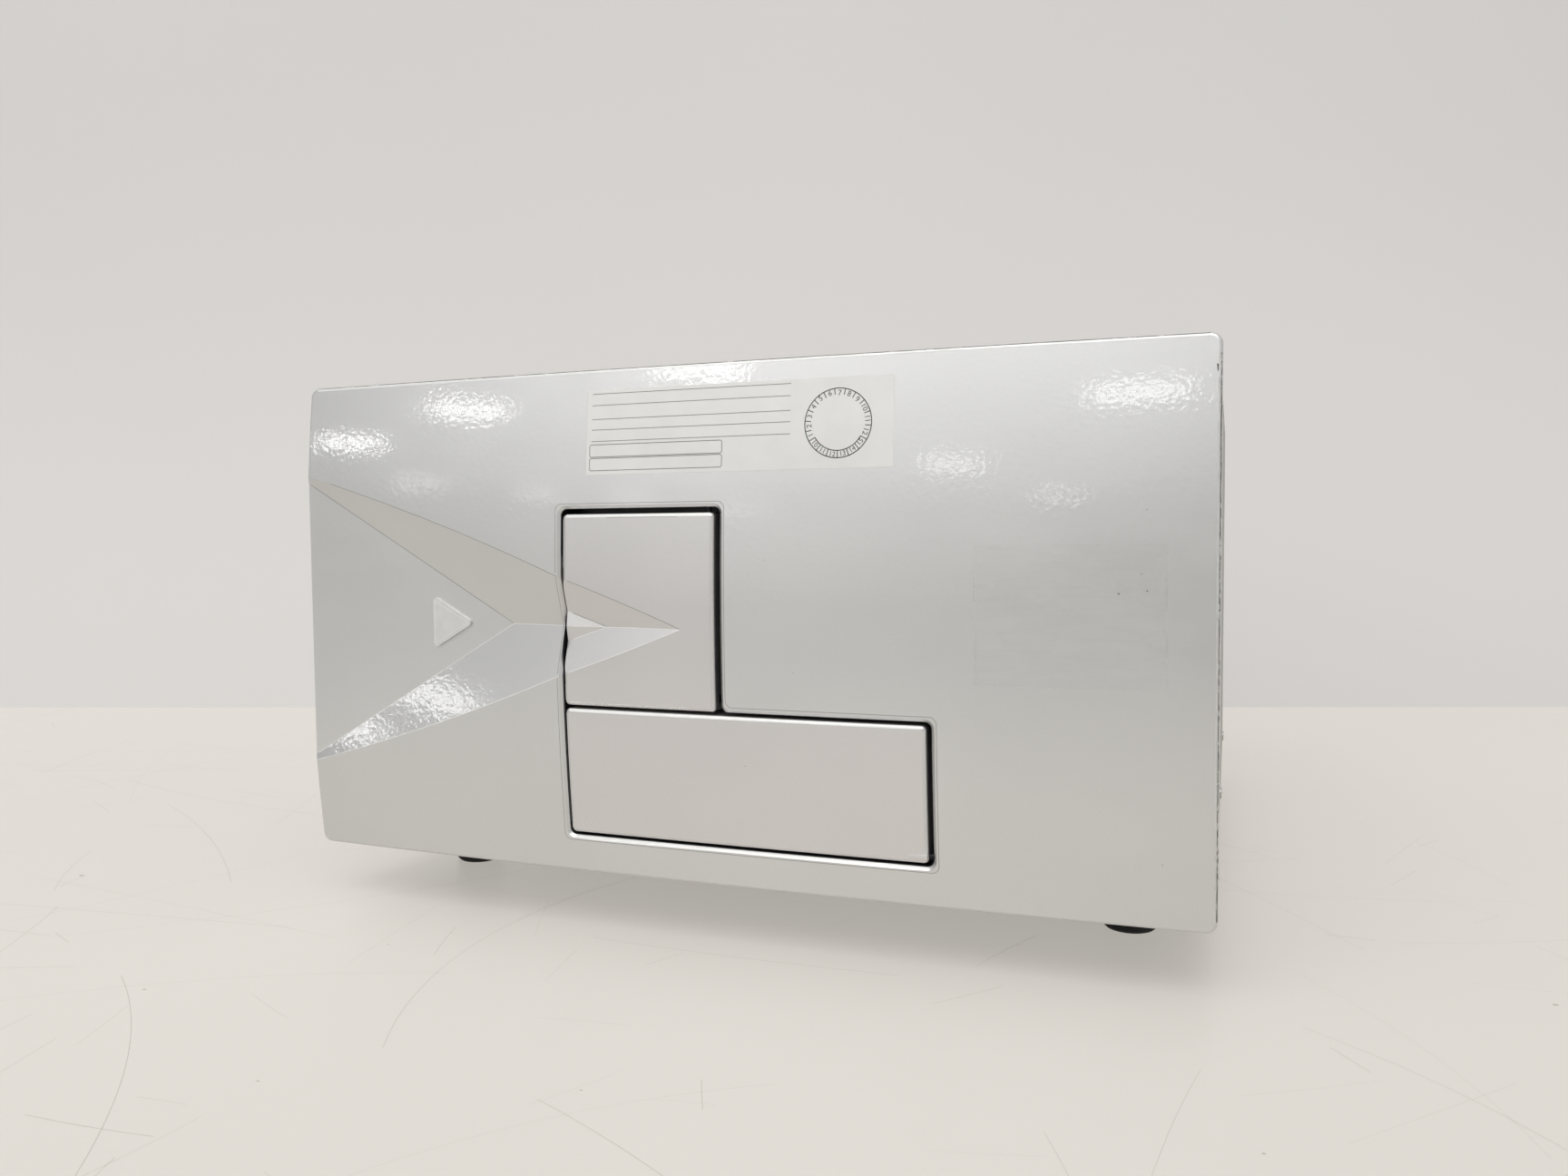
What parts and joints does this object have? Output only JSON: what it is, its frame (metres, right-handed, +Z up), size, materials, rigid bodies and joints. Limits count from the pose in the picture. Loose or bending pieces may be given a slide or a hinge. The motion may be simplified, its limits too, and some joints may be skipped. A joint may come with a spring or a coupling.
{
  "type": "microplate reader",
  "caption": "Bench reader for microplates with a curved silver front, a drop-down plate door, a side-hinged filter door, a sliding plate tray and filter slides.",
  "frame": {"origin": "middle of the outer box at the level of the feet's undersides", "axes": "+X to the right seen from the front, +Y away from the front, +Z up"},
  "size_m": [0.425, 0.457, 0.253],
  "materials": {
    "panel_silver": "fine silver paint on a moulded shell",
    "inlay_silver": "light silver",
    "door_silver": "fine silver paint",
    "bezel_black": "black moulding",
    "chassis_steel": "dark zinc and paint",
    "cover_paint": "light grey powder coat",
    "rear_paint": "light grey powder coat",
    "screw_steel": "zinc plated",
    "rubber": "matt black",
    "steel": "zinc plated",
    "ground_steel": "ground",
    "aluminium": "milled",
    "anodised": "black anodised",
    "bronze": "sintered bronze",
    "motor_black": "black",
    "belt_rubber": "moulded",
    "black_cast": "matt black paint on a casting",
    "slide_black": "black anodised",
    "filter_glass": "coated",
    "lens_glass": "clear",
    "gear_plastic": "natural",
    "fan_black": "moulded",
    "inlet_black": "moulded",
    "brass_pins": "nickel on brass",
    "rocker_black": "gloss",
    "board_green": "solder mask",
    "chip_black": "moulded"
  },
  "bodies": {
    "housing": {"front_panel": "panel_silver", "arrow_inlay": "inlay_silver", "door_bezel": "bezel_black", "front_plate": "chassis_steel", "base_pan": "chassis_steel", "top_cover": "cover_paint", "cover_screws": "screw_steel", "feet": "rubber", "rear_panel": "rear_paint", "transport_bed": "aluminium", "bed_posts": "steel", "guide_rods": "ground_steel", "guide_blocks": "aluminium", "idler_bracket": "steel", "motor_bracket": "steel", "transport_motor": "motor_black", "drive_belt": "belt_rubber", "filter_bay": "black_cast", "slide_motors": "motor_black", "chamber": "black_cast", "optics_block": "black_cast", "objective_tube": "anodised", "objective_lens": "lens_glass", "lamp_housing": "aluminium", "flash_lamp": "lens_glass", "detector": "steel", "optics_bracket": "steel", "fan_frame": "fan_black", "fan_guard": "steel", "power_inlet": "inlet_black", "inlet_pins": "brass_pins", "switch_body": "inlet_black", "usb_socket": "steel", "power_supply": "aluminium", "main_board": "board_green", "board_posts": "steel", "board_parts": "chip_black"},
    "plate_door_body": {"plate_door": "door_silver", "plate_door_pins": "steel"},
    "filter_door_body": {"filter_door": "door_silver", "filter_door_pins": "steel"},
    "carriage_body": {"carriage": "anodised", "carriage_bushings": "bronze", "belt_clamp": "steel", "cross_rods": "ground_steel"},
    "tray_body": {"plate_tray": "anodised", "tray_bushings": "bronze", "clamp_pin": "steel"},
    "plate_clamp_body": {"plate_clamp": "steel"},
    "drive_pulley_body": {"drive_pulley": "aluminium", "motor_shaft": "ground_steel"},
    "idler_pulley_body": {"idler_pulley": "aluminium"},
    "emission_slide_body": {"emission_slide": "slide_black", "emission_filters": "filter_glass"},
    "excitation_slide_body": {"excitation_slide": "slide_black", "excitation_filters": "filter_glass"},
    "emission_pinion_body": {"emission_pinion": "gear_plastic"},
    "excitation_pinion_body": {"excitation_pinion": "gear_plastic"},
    "rocker_body": {"power_rocker": "rocker_black"},
    "fan_rotor_body": {"fan_rotor": "fan_black"}
  },
  "joints": [
    {"name": "tray_drive", "type": "slide", "parent": "housing", "child": "carriage_body", "axis": [0, -1, 0], "range_m": [0, 0.2]},
    {"name": "tray_cross", "type": "slide", "parent": "carriage_body", "child": "tray_body", "axis": [1, 0, 0], "range_m": [-0.008, 0.008]},
    {"name": "plate_clamp_pivot", "type": "hinge", "parent": "tray_body", "child": "plate_clamp_body", "pos_m": [0.07075, -0.022, 0.088], "axis": [0, 0, 1], "range_deg": [-25, 0], "stiffness_Nm_per_rad": 0.02, "springref_deg": 11.46},
    {"name": "plate_door_hinge", "type": "hinge", "parent": "housing", "child": "plate_door_body", "pos_m": [0, -0.22058, 0.0474], "axis": [1, 0, 0], "range_deg": [0, 90]},
    {"name": "filter_door_hinge", "type": "hinge", "parent": "housing", "child": "filter_door_body", "pos_m": [0.00634, -0.22348, 0.1031], "axis": [0, 0, 1], "range_deg": [0, 90]},
    {"name": "drive_pulley_spin", "type": "hinge", "parent": "housing", "child": "drive_pulley_body", "pos_m": [-0.00125, 0.11202, 0.052], "axis": [1, 0, 0], "continuous": true},
    {"name": "idler_pulley_spin", "type": "hinge", "parent": "housing", "child": "idler_pulley_body", "pos_m": [-0.00125, -0.18588, 0.052], "axis": [1, 0, 0], "continuous": true},
    {"name": "emission_slide_drive", "type": "slide", "parent": "housing", "child": "emission_slide_body", "axis": [0, 1, 0], "range_m": [0, 0.081]},
    {"name": "excitation_slide_drive", "type": "slide", "parent": "housing", "child": "excitation_slide_body", "axis": [0, 1, 0], "range_m": [0, 0.081]},
    {"name": "emission_pinion_spin", "type": "hinge", "parent": "housing", "child": "emission_pinion_body", "pos_m": [-0.028, -0.05598, 0.1115], "axis": [1, 0, 0], "continuous": true},
    {"name": "excitation_pinion_spin", "type": "hinge", "parent": "housing", "child": "excitation_pinion_body", "pos_m": [-0.028, -0.05598, 0.1847], "axis": [1, 0, 0], "continuous": true},
    {"name": "power_rocker_pivot", "type": "hinge", "parent": "housing", "child": "rocker_body", "pos_m": [0.118, 0.2225, 0.064], "axis": [0, 0, 1], "range_deg": [0, 12]},
    {"name": "fan_spin", "type": "hinge", "parent": "housing", "child": "fan_rotor_body", "pos_m": [-0.12, 0.2115, 0.15], "axis": [0, 1, 0], "continuous": true}
  ],
  "couplings": [
    {"joint": "plate_door_hinge", "follows": "tray_drive", "rad_per_m": 7.854},
    {"joint": "drive_pulley_spin", "follows": "tray_drive", "rad_per_m": 142.86},
    {"joint": "idler_pulley_spin", "follows": "tray_drive", "rad_per_m": 142.86},
    {"joint": "emission_pinion_spin", "follows": "emission_slide_drive", "rad_per_m": -166.67},
    {"joint": "excitation_pinion_spin", "follows": "excitation_slide_drive", "rad_per_m": 166.67}
  ]
}
